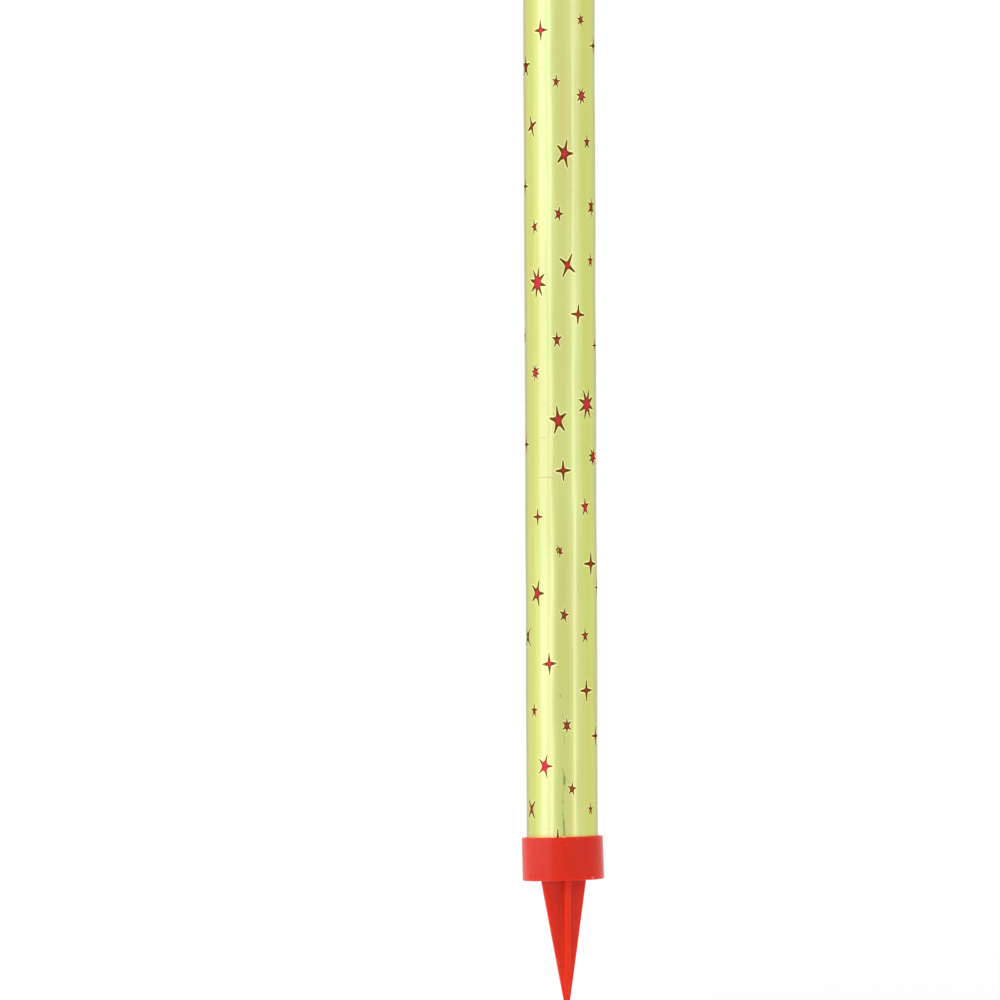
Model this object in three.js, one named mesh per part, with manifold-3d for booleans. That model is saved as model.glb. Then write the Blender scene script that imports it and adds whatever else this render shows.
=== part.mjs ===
// A cake fountain sparkler: a film-wrapped paper firework tube that stands in a red
// plastic cup, on a four-finned spike that is pushed into a cake.
//
// Millimetres, +Z up. The origin is the centre of the cup's flat underside, which comes to
// rest on the cake. The spike points down, the fuse points up, and one fin faces -Y.

import * as THREE from 'three';
import { mergeVertices } from 'three/addons/utils/BufferGeometryUtils.js';
import Module from 'manifold-3d';

const wasm = await Module();
wasm.setup();

// Paper tube: one glued sheet wound on itself
const tubeLength = 209;
const tubeBore = 10.9;
const paperThickness = 0.23;
const paperTurns = 5;

// Printed film, shrunk round the tube and curled in over its upper end
const filmThickness = 0.12;
const filmSlack = 0.05;
const filmHem = 1;
const filmCurlBend = 0.12;
const filmCurlReach = 2.2;

// Holder: the cup
const cupDepth = 7.3;
const cupWall = 0.72;
const cupFloor = 1.3;
const cupFlare = 0.12;
const cupClearance = 0.3;
const cupSeatGap = 0.1;
const cupFootRound = 0.55;
const cupRimRound = 0.28;
const cupLeadIn = 0.35;
const cupFloorFillet = 0.35;

// Holder: the ribs in the cup that grip the tube
const gripRibCount = 6;
const gripRibWidth = 0.7;
const gripRibClearance = 0.08;
const gripRibDrop = 1.5;
const gripRibRamp = 1.2;

// Holder: the spike
const spikeLength = 25.2;
const finReachAtRoot = 4.5;
const finReachAtTip = 0.36;
const finThickness = 1.15;
const finDraft = 0.12;
const finEdgeRound = 0.28;
const finWebFillet = 0.55;
const spikeRootFillet = 0.55;
const spikeNoseLength = 0.5;
const spikeTipShare = 0.5;

// Limits where the fins run out near the tip, as shares of the size they are cut from
const finThicknessLimit = 0.8;
const finRoundLimit = 0.6;
const finFilletLimit = 0.5;

// Filling
const fillClearance = 0.05;
const plugLength = 11;
const plugDish = 0.6;
const starterLength = 5;
const mouthRecess = 3.4;
const washerThickness = 1.6;

// Fuse
const fuseDiameter = 2.6;
const fuseCoreDiameter = 1.1;
const fuseCoreClearance = 0.04;
const fuseHoleClearance = 0.1;
const fuseBury = 3.5;
const fuseFreeLength = 14.2;
const fuseLean = 1.1;

// Facets
const roundSides = 64;
const fillSides = 48;
const fuseSides = 12;
const fuseSteps = 12;
const arcSteps = 4;
const finRoundSteps = 2;
const noseShares = [0, 0.1, 0.3, 0.6, 1];
const taperShares = [0.04, 0.1, 0.3, 0.65, 1];
const filletShares = [0.5, 0.75, 0.9, 1];

// Sizes that follow from the driving dimensions
const boreRadius = tubeBore / 2;
const tubeWall = paperTurns * paperThickness;
const tubeRadius = boreRadius + tubeWall + paperThickness;
const filmBore = tubeRadius + filmSlack;
const filmRadius = filmBore + filmThickness;
const cupBore = filmRadius + cupClearance;
const cupRimRadius = cupBore + cupWall;
const cupFootRadius = cupRimRadius + cupFlare;
const cupHeight = cupFloor + cupDepth;
const gripRadius = filmRadius + gripRibClearance;
const fillRadius = boreRadius * Math.cos(Math.PI / roundSides) - fillClearance;
const washerTop = tubeLength - mouthRecess;
const washerBottom = washerTop - washerThickness;
const starterTop = washerBottom - fillClearance;
const starterBottom = starterTop - starterLength;
const chargeTop = starterBottom - fillClearance;
const fuseRadius = fuseDiameter / 2;
const fuseHoleRadius = fuseRadius + fuseHoleClearance;
const fuseBottom = starterTop - fuseBury;
const fuseTop = tubeLength + fuseFreeLength;

// Materials, one function for each finish

function material(color, roughness, metalness = 0) {
  return new THREE.MeshStandardMaterial({ color, roughness, metalness });
}

const redPlastic = () => material(0xd7301f, 0.42);
const printedFilm = () => material(0xdfe58c, 0.28, 0.85);
const kraftPaper = () => material(0xb58f62, 0.85);
const pressedClay = () => material(0xb9aea0, 0.95);
const sparkComposition = () => material(0x6f6d6a, 0.8, 0.2);
const starterComposition = () => material(0x2d2b29, 0.9);
const greyCard = () => material(0xa39e94, 0.9);
const lacqueredThread = () => material(0x3f7a45, 0.55);
const blackPowder = () => material(0x1d1c1b, 0.95);

// Outline helpers. A profile is a list of [radius, height] pairs, outside going up.

function arc(centreR, centreZ, radius, fromDegrees, toDegrees, steps = arcSteps) {
  const points = [];
  for (let step = 0; step <= steps; step += 1) {
    const degrees = fromDegrees + ((toDegrees - fromDegrees) * step) / steps;
    const angle = THREE.MathUtils.degToRad(degrees);
    points.push([centreR + radius * Math.cos(angle), centreZ + radius * Math.sin(angle)]);
  }
  return points;
}

function revolve(profile, sides) {
  const points = profile.map(([r, z]) => new THREE.Vector2(r, z));
  const geometry = new THREE.LatheGeometry(points, sides);
  return geometry.rotateX(Math.PI / 2);
}

// A closed skin over a stack of rings, lowest first, each with the same number of points
// going counterclockwise round the Z axis.
function loftRings(rings) {
  const positions = [];
  const index = [];
  const count = rings[0].points.length;
  const at = (ring, point) => ring * count + (point % count);
  for (const { z, points } of rings) {
    points.forEach(([x, y]) => positions.push(x, y, z));
  }
  const bottomCentre = positions.length / 3;
  positions.push(0, 0, rings[0].z);
  const topCentre = bottomCentre + 1;
  positions.push(0, 0, rings.at(-1).z);
  for (let point = 0; point < count; point += 1) {
    index.push(bottomCentre, at(0, point + 1), at(0, point));
    index.push(topCentre, at(rings.length - 1, point), at(rings.length - 1, point + 1));
    for (let ring = 0; ring < rings.length - 1; ring += 1) {
      index.push(at(ring, point), at(ring, point + 1), at(ring + 1, point + 1));
      index.push(at(ring, point), at(ring + 1, point + 1), at(ring + 1, point));
    }
  }
  const geometry = new THREE.BufferGeometry();
  geometry.setAttribute('position', new THREE.Float32BufferAttribute(positions, 3));
  geometry.setIndex(index);
  return geometry;
}

// Solid helpers

function toSolid(geometry) {
  const bare = geometry.clone();
  bare.deleteAttribute('normal');
  bare.deleteAttribute('uv');
  const merged = mergeVertices(bare, 1e-4);
  return new wasm.Manifold(new wasm.Mesh({
    numProp: 3,
    vertProperties: new Float32Array(merged.attributes.position.array),
    triVerts: new Uint32Array(merged.index.array),
  }));
}

function toGeometry(solid) {
  const mesh = solid.getMesh();
  const geometry = new THREE.BufferGeometry();
  geometry.setAttribute('position', new THREE.BufferAttribute(mesh.vertProperties, 3));
  geometry.setIndex(new THREE.BufferAttribute(mesh.triVerts, 1));
  geometry.computeVertexNormals();
  return geometry;
}

function namedMesh(name, geometry, finish) {
  const mesh = new THREE.Mesh(geometry, finish);
  mesh.name = name;
  return mesh;
}

// Holder

function cupShell() {
  return revolve([
    [0, 0],
    ...arc(cupFootRadius - cupFootRound, cupFootRound, cupFootRound, -90, 0),
    ...arc(cupRimRadius - cupRimRound, cupHeight - cupRimRound, cupRimRound, 0, 90),
    [cupBore + cupLeadIn / 2, cupHeight],
    [cupBore, cupHeight - cupLeadIn],
    ...arc(cupBore - cupFloorFillet, cupFloor + cupFloorFillet, cupFloorFillet, 0, -90),
    [0, cupFloor],
  ], roundSides);
}

function gripRib(turn) {
  const root = cupBore + cupWall / 2;
  const top = cupHeight - gripRibDrop;
  const outline = new THREE.Shape();
  outline.moveTo(gripRadius, cupFloor / 2);
  outline.lineTo(root, cupFloor / 2);
  outline.lineTo(root, top);
  outline.lineTo(cupBore, top);
  outline.lineTo(gripRadius, top - gripRibRamp);
  outline.closePath();
  const rib = new THREE.ExtrudeGeometry(outline, { depth: gripRibWidth, bevelEnabled: false });
  rib.translate(0, 0, -gripRibWidth / 2);
  rib.rotateX(Math.PI / 2);
  rib.rotateZ(turn);
  return rib;
}

// One quarter of the spike's cross section, from the end of the fin on +X to the end of
// the fin on +Y. The fins are thinner at their ends than at the web between them.
function finQuarter(reach, halfThickness) {
  const halfEnd = halfThickness * (1 - finDraft);
  const round = Math.min(finEdgeRound, halfEnd * finRoundLimit);
  const fillet = Math.min(finWebFillet, (reach - halfThickness) * finFilletLimit);
  const web = halfThickness + fillet;
  return [
    ...arc(reach - round, halfEnd - round, round, 0, 90, finRoundSteps),
    ...arc(web, web, fillet, -90, -180),
    ...arc(halfEnd - round, reach - round, round, 0, 90, finRoundSteps),
  ];
}

function spikeRing(z) {
  const height = z + spikeLength;
  const taper = (finReachAtRoot - finReachAtTip) / spikeLength;
  const nose = Math.min(height / spikeNoseLength, 1);
  const noseScale = spikeTipShare + (1 - spikeTipShare) * Math.sqrt(1 - (1 - nose) ** 2);
  const depthIntoFillet = THREE.MathUtils.clamp(z + spikeRootFillet, 0, spikeRootFillet);
  const flare = spikeRootFillet - Math.sqrt(spikeRootFillet ** 2 - depthIntoFillet ** 2);
  const reach = (finReachAtTip + taper * Math.min(height, spikeLength)) * noseScale;
  const halfThickness = Math.min(finThickness / 2, reach * finThicknessLimit);
  const quarter = finQuarter(reach + flare, halfThickness + flare);
  const points = [];
  for (let quadrant = 0; quadrant < 4; quadrant += 1) {
    const turn = new THREE.Matrix3().makeRotation((quadrant * Math.PI) / 2);
    for (const [x, y] of quarter) {
      const turned = new THREE.Vector2(x, y).applyMatrix3(turn);
      points.push([turned.x, turned.y]);
    }
  }
  return { z, points };
}

function finnedSpike() {
  const rings = [];
  for (const share of noseShares) {
    rings.push(spikeRing(-spikeLength + spikeNoseLength * share));
  }
  const plainLength = spikeLength - spikeNoseLength - spikeRootFillet;
  for (const share of taperShares) {
    rings.push(spikeRing(-spikeLength + spikeNoseLength + plainLength * share));
  }
  for (const share of filletShares) {
    rings.push(spikeRing(-spikeRootFillet * (1 - share)));
  }
  rings.push({ z: cupFloor / 2, points: rings.at(-1).points });
  return loftRings(rings);
}

function spikeBase() {
  let solid = toSolid(cupShell()).add(toSolid(finnedSpike()));
  for (let rib = 0; rib < gripRibCount; rib += 1) {
    const turn = ((rib + 0.5) * 2 * Math.PI) / gripRibCount;
    solid = solid.add(toSolid(gripRib(turn)));
  }
  return namedMesh('spike_base', toGeometry(solid), redPlastic());
}

// Cartridge: the tube, its film and its filling, from the tube's lower end at z = 0

// The tube's wall, seen along its axis: a sheet of constant thickness wound in a spiral,
// which leaves a step of one sheet inside and outside, on the same line.
function windingPath(shape, innerRadius) {
  for (let side = 0; side <= roundSides; side += 1) {
    const turn = side / roundSides;
    const radius = innerRadius + paperThickness * turn;
    const angle = turn * 2 * Math.PI + Math.PI / 2;
    const x = radius * Math.cos(angle);
    const y = radius * Math.sin(angle);
    if (side === 0) {
      shape.moveTo(x, y);
    } else {
      shape.lineTo(x, y);
    }
  }
  shape.closePath();
  return shape;
}

function paperTube() {
  const wall = windingPath(new THREE.Shape(), boreRadius + tubeWall);
  wall.holes.push(windingPath(new THREE.Path(), boreRadius));
  const geometry = new THREE.ExtrudeGeometry(wall, { depth: tubeLength, bevelEnabled: false });
  return namedMesh('paper_tube', geometry, kraftPaper());
}

function foilWrap() {
  const outerBend = filmCurlBend + filmThickness;
  const underside = tubeLength + filmSlack;
  const topside = underside + filmThickness;
  const bendR = filmRadius - outerBend;
  const bendZ = topside - outerBend;
  const curlRadius = filmRadius - filmCurlReach;
  const geometry = revolve([
    [filmBore, filmHem],
    [filmRadius, filmHem],
    ...arc(bendR, bendZ, outerBend, 0, 90),
    [curlRadius, topside],
    [curlRadius, underside],
    ...arc(bendR, bendZ, filmCurlBend, 90, 0),
    [filmBore, filmHem],
  ], roundSides);
  return namedMesh('foil_wrap', geometry, printedFilm());
}

// The rammer leaves a shallow dish in the top of the clay, and the charge fills it.
function dish(centreZ, edgeZ) {
  const points = [];
  for (let step = 0; step <= arcSteps; step += 1) {
    const share = step / arcSteps;
    points.push([fillRadius * share, centreZ + (edgeZ - centreZ) * share ** 2]);
  }
  return points;
}

function basePlug() {
  const profile = [
    [0, 0],
    [fillRadius, 0],
    ...dish(plugLength - plugDish, plugLength).reverse(),
  ];
  return namedMesh('base_plug', revolve(profile, fillSides), pressedClay());
}

function sparkCharge() {
  const profile = [
    ...dish(plugLength - plugDish + fillClearance, plugLength + fillClearance),
    [fillRadius, chargeTop],
    [0, chargeTop],
  ];
  return namedMesh('spark_charge', revolve(profile, fillSides), sparkComposition());
}

function starterCharge() {
  const pocket = fuseBottom - fillClearance;
  const profile = [
    [0, starterBottom],
    [fillRadius, starterBottom],
    [fillRadius, starterTop],
    [fuseHoleRadius, starterTop],
    [fuseHoleRadius, pocket],
    [0, pocket],
  ];
  return namedMesh('starter_charge', revolve(profile, fillSides), starterComposition());
}

function topWasher() {
  const profile = [
    [fuseHoleRadius, washerBottom],
    [fillRadius, washerBottom],
    [fillRadius, washerTop],
    [fuseHoleRadius, washerTop],
    [fuseHoleRadius, washerBottom],
  ];
  return namedMesh('top_washer', revolve(profile, fillSides), greyCard());
}

// The fuse runs straight through the washer and leans over a little above it.
class FuseLine extends THREE.Curve {
  getPoint(t, target = new THREE.Vector3()) {
    const z = fuseBottom + t * (fuseTop - fuseBottom);
    const free = Math.max(0, z - washerTop) / (fuseTop - washerTop);
    return target.set(fuseLean * free ** 2, 0, z);
  }
}

function circlePath(path, radius) {
  return path.absarc(0, 0, radius, 0, 2 * Math.PI);
}

function sweepAlongFuse(section) {
  return new THREE.ExtrudeGeometry(section, {
    steps: fuseSteps,
    curveSegments: fuseSides,
    extrudePath: new FuseLine(),
  });
}

function fuseJacket() {
  const section = circlePath(new THREE.Shape(), fuseRadius);
  section.holes.push(circlePath(new THREE.Path(), fuseCoreDiameter / 2 + fuseCoreClearance));
  return namedMesh('fuse_jacket', sweepAlongFuse(section), lacqueredThread());
}

function fuseCore() {
  const section = circlePath(new THREE.Shape(), fuseCoreDiameter / 2);
  return namedMesh('fuse_core', sweepAlongFuse(section), blackPowder());
}

// Assembly

function sparkler() {
  const cartridge = new THREE.Group();
  cartridge.position.z = cupFloor + cupSeatGap;
  cartridge.add(paperTube(), foilWrap(), basePlug(), sparkCharge());
  cartridge.add(starterCharge(), topWasher(), fuseJacket(), fuseCore());
  const assembly = new THREE.Group();
  assembly.add(spikeBase(), cartridge);
  return assembly;
}

export default sparkler();
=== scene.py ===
"""The looks of the cake fountain sparkler: its red moulded holder, the starred film, the
wound paper tube, the card washer and the fuse, on a pale floor in soft studio light."""

import math
import random

import bmesh
import bpy
from bpy.props import FloatProperty, FloatVectorProperty, IntProperty, PointerProperty
from mathutils import Matrix, Vector


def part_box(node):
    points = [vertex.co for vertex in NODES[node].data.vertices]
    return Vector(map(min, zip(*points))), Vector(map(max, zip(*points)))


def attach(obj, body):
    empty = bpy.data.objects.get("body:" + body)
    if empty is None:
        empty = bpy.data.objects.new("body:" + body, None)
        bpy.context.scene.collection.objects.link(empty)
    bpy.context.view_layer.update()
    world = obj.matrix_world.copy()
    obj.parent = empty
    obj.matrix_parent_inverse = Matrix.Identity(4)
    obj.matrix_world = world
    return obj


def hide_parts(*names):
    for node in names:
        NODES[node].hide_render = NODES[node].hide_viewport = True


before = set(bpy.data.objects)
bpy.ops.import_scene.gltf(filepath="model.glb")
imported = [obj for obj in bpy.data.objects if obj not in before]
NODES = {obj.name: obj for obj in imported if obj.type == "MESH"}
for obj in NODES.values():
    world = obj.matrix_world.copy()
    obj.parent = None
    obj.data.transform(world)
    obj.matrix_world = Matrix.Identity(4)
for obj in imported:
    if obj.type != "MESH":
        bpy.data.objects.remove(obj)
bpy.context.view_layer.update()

bl_info = {
    "name": "Cake Fountain Sparkler",
    "version": (1, 0, 0),
    "blender": (4, 5, 0),
    "location": "3D View > Sidebar > Sparkler",
    "description": "Dresses the packed cake fountain sparkler with its visible pieces and finishes",
    "category": "Object",
}

MM = 0.001
FILM_SIDES = 240
SPIKE_OVERLAP = 0.6 * MM
HOLDER_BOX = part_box("spike_base")
FILM_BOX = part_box("foil_wrap")
TUBE_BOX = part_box("paper_tube")
WASHER_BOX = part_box("top_washer")
FUSE_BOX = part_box("fuse_jacket")


def paint(red, green, blue):
    """A colour given as it looks on a screen, 0 to 255, as Blender's own linear colour."""
    def linear(value):
        level = value / 255
        return level / 12.92 if level <= 0.04045 else ((level + 0.055) / 1.055) ** 2.4
    return linear(red), linear(green), linear(blue)


def opaque(colour):
    return (*colour, 1.0)


# Settings

def length(name, description, default, low=0.0):
    return FloatProperty(
        name=name, description=description, default=default, min=low, precision=5,
        subtype="DISTANCE", unit="LENGTH")


def colour(name, description, default):
    return FloatVectorProperty(
        name=name, description=description, default=default, size=3, min=0, max=1,
        subtype="COLOR")


def angle(name, description, degrees):
    return FloatProperty(
        name=name, description=description, default=math.radians(degrees),
        subtype="ANGLE", unit="ROTATION")


def share(name, description, default):
    return FloatProperty(
        name=name, description=description, default=default, min=0, max=1, subtype="FACTOR")


class HolderSettings(bpy.types.PropertyGroup):
    foot_radius: length("Foot Radius", "Cup radius at its underside", 8.09 * MM)
    rim_radius: length("Rim Radius", "Cup radius at its mouth", 8.02 * MM)
    cup_height: length("Cup Height", "From the underside to the rim", HOLDER_BOX[1].z)
    bore_radius: length("Bore Radius", "Inside radius of the cup", 7.3 * MM)
    bore_depth: length("Bore Depth", "From the rim to the cup's floor", 7.42 * MM)
    grip_radius: length("Grip Radius", "Radius that the grip ribs reach in to", 7.2 * MM)
    grip_ribs: IntProperty(name="Grip Ribs", description="Ribs round the bore", default=6, min=3)
    spike_length: length("Spike Length", "From the underside to the tip", -HOLDER_BOX[0].z)
    root_reach: length("Fin Reach at Root", "From the axis to a fin's edge at the cup", 4.54 * MM)
    tip_reach: length("Fin Reach at Tip", "From the axis to a fin's edge at the tip", 0.4 * MM)
    fin_thickness: length("Fin Thickness", "Thickness of each fin", 1.15 * MM)
    lean: angle("Lean", "How far the cup sits crooked on the tube", 1.35)
    aside: length("Aside", "How far the cup sits off the tube's axis", 0.1 * MM)
    plastic: colour("Plastic", "Red of the moulding", paint(217, 40, 8))
    # The next red is painted light: a lighter band painted on the side of the cup that the key lamp
    # lights.
    painted_lit_red: colour("Painted Lit Red", "Red where the melt cooled first", paint(219, 58, 38))


class FilmSettings(bpy.types.PropertyGroup):
    radius: length("Radius", "Outside radius of the wrapped tube", 7.05 * MM)
    thickness: length("Thickness", "Thickness of the film", 0.12 * MM)
    lip_reach: length("Lip Reach", "How far the film curls in over the tube's end", 2.2 * MM)
    wave: length("Waves", "Height of the long soft waves in the film", 0.16 * MM)
    plain: colour("Plain", "Main tone of the lacquered foil", paint(206, 214, 130))
    # The next two tones are painted light: painted shade and painted highlight in bands round the
    # tube, where the film's reflections are dark and light.
    painted_shade_tone: colour("Painted Shade Tone", "Tone where the lacquer lies thick", paint(203, 214, 113))
    pale: colour("Pale", "Tone where the lacquer lies thin", paint(206, 216, 142))
    # The next tone is a painted reflection: the cup's red rim seen in the film just above it.
    rubbed: colour("Rubbed", "Tone where the cup's rim has rubbed it", paint(236, 150, 70))


class StarSettings(bpy.types.PropertyGroup):
    side: angle("Printed Side", "Turn of the print's middle from the front fin", -12.5)
    height: length("Height", "How far the ink stands proud of the film", 0.034 * MM)
    halo: length("Halo", "Bare foil left round each star", 0.24 * MM)
    heart: colour("Heart", "Ink in the middle of a star", paint(194, 54, 62))
    body: colour("Body", "Ink round the middle", paint(152, 54, 26))
    ray: colour("Ray", "Ink along the rays", paint(98, 70, 16))
    worn: colour("Worn", "Thin ink at the ends of the rays", paint(146, 138, 66))
    bare_foil: colour("Bare Foil", "Foil without lacquer, round the rays", paint(255, 246, 168))
    blush: colour("Blush", "Foil without lacquer, round a star's middle", paint(255, 206, 140))


class TopSettings(bpy.types.PropertyGroup):
    paper: colour("Paper", "Kraft paper of the tube", paint(181, 143, 98))
    card: colour("Card", "Grey card of the washer", paint(163, 158, 148))
    thread: colour("Thread", "Lacquered thread of the fuse", paint(64, 122, 68))
    strands: IntProperty(name="Strands", description="Threads wound on the fuse", default=10, min=4)
    fuse_radius: length("Fuse Radius", "Outside radius of the fuse", 1.3 * MM)
    fuse_lean: length("Fuse Lean", "How far the fuse's end leans over", 1.1 * MM)


class StudioSettings(bpy.types.PropertyGroup):
    azimuth: angle("Azimuth", "Direction of the camera round the sparkler", -12.5)
    distance: length("Distance", "From the sparkler to the camera", 2.6)
    frame_width: length("Frame Width", "Width that the picture takes in", 197.74 * MM)
    aim_height: length("Aim Height", "Height of the picture's middle", 75.16 * MM)
    aim_side: FloatProperty(
        name="Aim Side", description="Picture's middle, to the right of the axis",
        default=-12.04 * MM, subtype="DISTANCE", unit="LENGTH")
    roll: angle("Roll", "Turn of the picture about its middle", 0.24)
    floor_height: FloatProperty(
        name="Floor Height", description="Level of the floor under the spike's tip",
        default=HOLDER_BOX[0].z, subtype="DISTANCE", unit="LENGTH")
    lamp_distance: length("Lamp Distance", "From the sparkler to the lamps", 0.4)
    lamp_height: length("Lamp Height", "Height of each lamp, from just under the floor", 1.4)
    lamp_colour: colour("Lamp Colour", "Cool white of the lamps", (0.66, 0.66, 1.0))
    fill_light: share("Fill Light", "Strength of the even light on matt surfaces", 0.88)


SETTINGS = {
    "sparkler_holder": HolderSettings,
    "sparkler_film": FilmSettings,
    "sparkler_stars": StarSettings,
    "sparkler_top": TopSettings,
    "sparkler_studio": StudioSettings,
}


# Modelling, with one piece selected at a time

def deselect():
    if bpy.context.mode != "OBJECT":
        bpy.ops.object.mode_set(mode="OBJECT")
    bpy.ops.object.select_all(action="DESELECT")


def take(*pieces):
    """Selects these pieces alone; the last one becomes active."""
    deselect()
    for piece in pieces:
        piece.select_set(True)
    bpy.context.view_layer.objects.active = pieces[-1]
    return pieces[-1]


def settle(piece):
    """Puts a piece's place into its mesh."""
    take(piece)
    bpy.ops.object.transform_apply(location=True, rotation=True, scale=True)
    return piece


def primitive(name, add, **settings):
    deselect()
    add(**settings)
    piece = bpy.context.object
    piece.name = name
    piece.data.name = name
    return settle(piece)


def edit(piece, parts="VERT"):
    """Enters edit mode with nothing selected."""
    take(piece)
    bpy.ops.object.mode_set(mode="EDIT")
    bpy.ops.mesh.select_mode(type=parts)
    bpy.ops.mesh.select_all(action="DESELECT")


def pick(test, parts="VERT"):
    """Selects the vertices, edges or faces of the piece in edit mode that pass the test."""
    bpy.ops.mesh.select_mode(type=parts)
    bpy.ops.mesh.select_all(action="DESELECT")
    data = bpy.context.object.data
    mesh = bmesh.from_edit_mesh(data)
    found = {"VERT": mesh.verts, "EDGE": mesh.edges, "FACE": mesh.faces}[parts]
    count = 0
    for element in found:
        if test(element):
            element.select_set(True)
            count += 1
    mesh.select_flush_mode()
    bmesh.update_edit_mesh(data)
    if not count:
        raise RuntimeError("nothing was selected on " + bpy.context.object.name)
    return count


def move(x=0.0, y=0.0, z=0.0, **settings):
    bpy.ops.transform.translate(value=(x, y, z), **settings)


def resize(x, y, z, centre=(0.0, 0.0, 0.0)):
    bpy.ops.transform.resize(value=(x, y, z), center_override=centre)


def extrude(x=0.0, y=0.0, z=0.0):
    bpy.ops.mesh.extrude_region_move(TRANSFORM_OT_translate={"value": (x, y, z)})


def bevel(width, segments):
    bpy.ops.mesh.bevel(
        offset=width, offset_type="OFFSET", segments=segments, profile=0.5,
        affect="EDGES", clamp_overlap=True)


def close_up(piece, gap=0.002 * MM):
    """Merges doubled vertices and turns every face outwards."""
    edit(piece)
    bpy.ops.mesh.select_all(action="SELECT")
    bpy.ops.mesh.remove_doubles(threshold=gap)
    bpy.ops.mesh.normals_make_consistent(inside=False)
    deselect()


def modify(piece, kind, **settings):
    """Adds a modifier and applies it."""
    take(piece)
    bpy.ops.object.modifier_add(type=kind)
    modifier = piece.modifiers[-1]
    for name, value in settings.items():
        setattr(modifier, name, value)
    bpy.ops.object.modifier_apply(modifier=modifier.name)


def unite(piece, other):
    modify(piece, "BOOLEAN", operation="UNION", solver="EXACT", object=other)
    bpy.data.objects.remove(other)


def smooth(piece, degrees=35):
    take(piece)
    bpy.ops.object.shade_smooth_by_angle(angle=math.radians(degrees))


def radius_of(point):
    return math.hypot(point.x, point.y)


def near(value, target, gap=0.02 * MM):
    return abs(value - target) < gap


def dress(piece, material, body, slot, *nodes):
    """Gives a finished piece its material and its body, and hides the nodes it stands for; the slot
    is not used.
    """
    piece.data.materials.clear()
    piece.data.materials.append(material)
    deselect()
    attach(piece, body)
    if nodes:
        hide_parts(*nodes)


# Shading

class Value:
    """A socket in an expression: arithmetic on it adds the Math nodes."""

    def __init__(self, finish, output):
        self.finish = finish
        self.output = output

    def math(self, operation, *others):
        return self.finish.calculate(operation, self, *others)

    def __add__(self, other):
        return self.math("ADD", other)

    def __sub__(self, other):
        return self.math("SUBTRACT", other)

    def __rsub__(self, other):
        return self.finish.calculate("SUBTRACT", other, self)

    def __mul__(self, other):
        return self.math("MULTIPLY", other)

    def __truediv__(self, other):
        return self.math("DIVIDE", other)

    def __rtruediv__(self, other):
        return self.finish.calculate("DIVIDE", other, self)

    __radd__ = __add__
    __rmul__ = __mul__

    def limited(self):
        return self.math("MAXIMUM", 0.0).math("MINIMUM", 1.0)

    def step(self, low, high):
        """0 below low, 1 above high and an even slope between; high may be the smaller."""
        return ((self - low) / (high - low)).limited()


class Finish:
    """One node tree, and the only way that nodes are added to it."""

    def __init__(self, tree):
        self.tree = tree
        tree.nodes.clear()

    def node(self, kind, settings=None, inputs=None, output=0):
        node = self.tree.nodes.new(kind)
        for name, value in (settings or {}).items():
            if name == "stops":
                self.fill_ramp(node.color_ramp.elements, value)
            else:
                setattr(node, name, value)
        for name, value in (inputs or {}).items():
            if isinstance(value, Value):
                self.tree.links.new(value.output, node.inputs[name])
            else:
                node.inputs[name].default_value = value
        return Value(self, node.outputs[output]) if node.outputs else None

    @staticmethod
    def fill_ramp(elements, stops):
        while len(elements) < len(stops):
            elements.new(1.0)
        for element, (position, stop) in zip(elements, stops):
            element.position = position
            element.color = opaque(stop)

    def calculate(self, operation, *values):
        inputs = dict(enumerate(values))
        return self.node("ShaderNodeMath", {"operation": operation}, inputs)

    def blend(self, factor, first, second):
        """A colour between two colours."""
        return self.node(
            "ShaderNodeMix", {"data_type": "RGBA"},
            {0: factor, 6: self.full(first), 7: self.full(second)}, output=2)

    def tint(self, factor, first, by):
        """A colour multiplied, by a share, with another."""
        return self.node(
            "ShaderNodeMix", {"data_type": "RGBA", "blend_type": "MULTIPLY"},
            {0: factor, 6: self.full(first), 7: self.full(by)}, output=2)

    @staticmethod
    def full(value):
        return value if isinstance(value, Value) else opaque(value)

    def place(self):
        """The point on the object, in metres."""
        return self.node("ShaderNodeTexCoord", output="Object")

    def stretched(self, place, x, y, z):
        return self.node("ShaderNodeMapping", {}, {"Vector": place, "Scale": (x, y, z)})

    def noise(self, place, scale, detail=2.0, roughness=0.5):
        return self.node(
            "ShaderNodeTexNoise", {},
            {"Vector": place, "Scale": scale, "Detail": detail, "Roughness": roughness})

    def spot(self, place, centre, reach):
        """1 at a point and 0 from its reach on; both are given along x, y and z."""
        shares = [1 / part for part in reach]
        middle = [part * stretch for part, stretch in zip(centre, shares)]
        away = self.node(
            "ShaderNodeVectorMath", {"operation": "DISTANCE"},
            {0: self.stretched(place, *shares), 1: middle}, output=1)
        return away.step(1.0, 0.5)

    def apart(self, vector):
        """The three numbers of a vector."""
        x = self.node("ShaderNodeSeparateXYZ", {}, {"Vector": vector})
        outputs = x.output.node.outputs
        return x, Value(self, outputs[1]), Value(self, outputs[2])

    def bump(self, height, distance, strength=1.0, normal=None):
        inputs = {"Height": height, "Distance": distance, "Strength": strength}
        if normal is not None:
            inputs["Normal"] = normal
        return self.node("ShaderNodeBump", {}, inputs)

    def surface(self, **inputs):
        """The finished surface. Input names are written with underscores for spaces."""
        named = {name.replace("_", " "): value for name, value in inputs.items()}
        shader = self.node("ShaderNodeBsdfPrincipled", {}, named)
        self.node("ShaderNodeOutputMaterial", {}, {"Surface": shader})


def looked_at(finish):
    """1 where the camera looks, straight or through a reflection, and 0 for other light."""
    ray = finish.node("ShaderNodeLightPath", output="Is Camera Ray")
    outputs = ray.output.node.outputs
    seen = ray
    for name in ("Is Glossy Ray", "Is Transmission Ray"):
        seen = seen.math("MAXIMUM", Value(finish, outputs[name]))
    return seen


def new_finish(name):
    material = bpy.data.materials.new(name)
    material.use_nodes = True
    return material, Finish(material.node_tree)


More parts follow.
